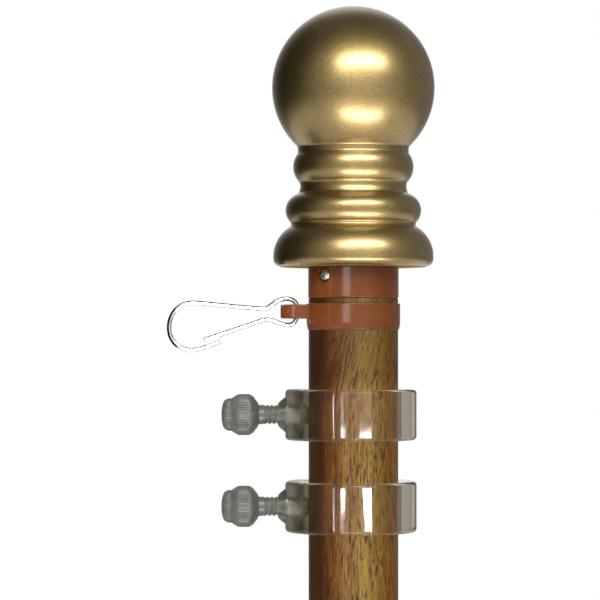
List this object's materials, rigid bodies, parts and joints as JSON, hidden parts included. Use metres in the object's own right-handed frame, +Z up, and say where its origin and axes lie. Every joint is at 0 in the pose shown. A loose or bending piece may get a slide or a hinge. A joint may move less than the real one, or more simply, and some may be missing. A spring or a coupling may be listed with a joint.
{
  "type": "house flagpole with ball finial, swivel ring and clear stop rings",
  "caption": "Upright house flagpole: wood-grain tube, gold ball finial, swivel ring with a wire snap clip for the flag, and clear stop rings clamped by thumb screws.",
  "frame": {"origin": "middle of the foot plug's flat underside, on the pole's axis", "axes": "+Z up the pole to the finial; the swivel ring's ear, the snap clip and the thumb screws point along -X; -Y is the side that faces the viewer"},
  "size_m": [0.076, 0.0462, 1.524],
  "materials": {
    "gold": "satin antique gold metallic coat on moulded plastic",
    "brown_plastic": "smooth glossy brown plastic",
    "screw_steel": "plated steel",
    "wire_chrome": "bright plated spring wire",
    "clear_plastic": "clear polished plastic with a faint grey tint",
    "frosted_plastic": "translucent grey-white moulded plastic",
    "wood_grain": "satin wood-grain laminate on thin steel tube",
    "plug_plastic": "dark brown moulded plastic"
  },
  "bodies": {
    "pole": {"finial": "gold", "collar": "brown_plastic", "collar_screw": "screw_steel", "upper_pole": "wood_grain", "lower_pole": "wood_grain", "foot_plug": "plug_plastic"},
    "swivel": {"swivel_ring": "brown_plastic"},
    "clip": {"snap_clip": "wire_chrome"},
    "gate": {"snap_gate": "wire_chrome"},
    "upper_ring": {"upper_clear_ring": "clear_plastic"},
    "upper_screw": {"upper_thumb_screw": "frosted_plastic"},
    "lower_ring": {"lower_clear_ring": "clear_plastic"},
    "lower_screw": {"lower_thumb_screw": "frosted_plastic"}
  },
  "joints": [
    {"name": "swivel_spin", "type": "hinge", "parent": "pole", "child": "swivel", "pos_m": [0, 0, 1.43585], "axis": [0, 0, 1], "continuous": true},
    {"name": "clip_swing", "type": "hinge", "parent": "swivel", "child": "clip", "pos_m": [-0.016, 0, 1.4373], "axis": [0, 0, 1], "range_deg": [-80, 80]},
    {"name": "gate_open", "type": "hinge", "parent": "clip", "child": "gate", "pos_m": [-0.0248, 0, 1.4351], "axis": [0, 1, 0], "range_deg": [0, 18], "stiffness_Nm_per_rad": 0.002},
    {"name": "upper_ring_slide", "type": "slide", "parent": "pole", "child": "upper_ring", "axis": [0, 0, 1], "range_m": [-0.0065, 0.01]},
    {"name": "upper_screw_travel", "type": "slide", "parent": "upper_ring", "child": "upper_screw", "axis": [-1, 0, 0], "range_m": [0, 0.005]},
    {"name": "lower_ring_slide", "type": "slide", "parent": "pole", "child": "lower_ring", "axis": [0, 0, 1], "range_m": [-1.15, 0]},
    {"name": "lower_screw_travel", "type": "slide", "parent": "lower_ring", "child": "lower_screw", "axis": [-1, 0, 0], "range_m": [0, 0.005]}
  ]
}
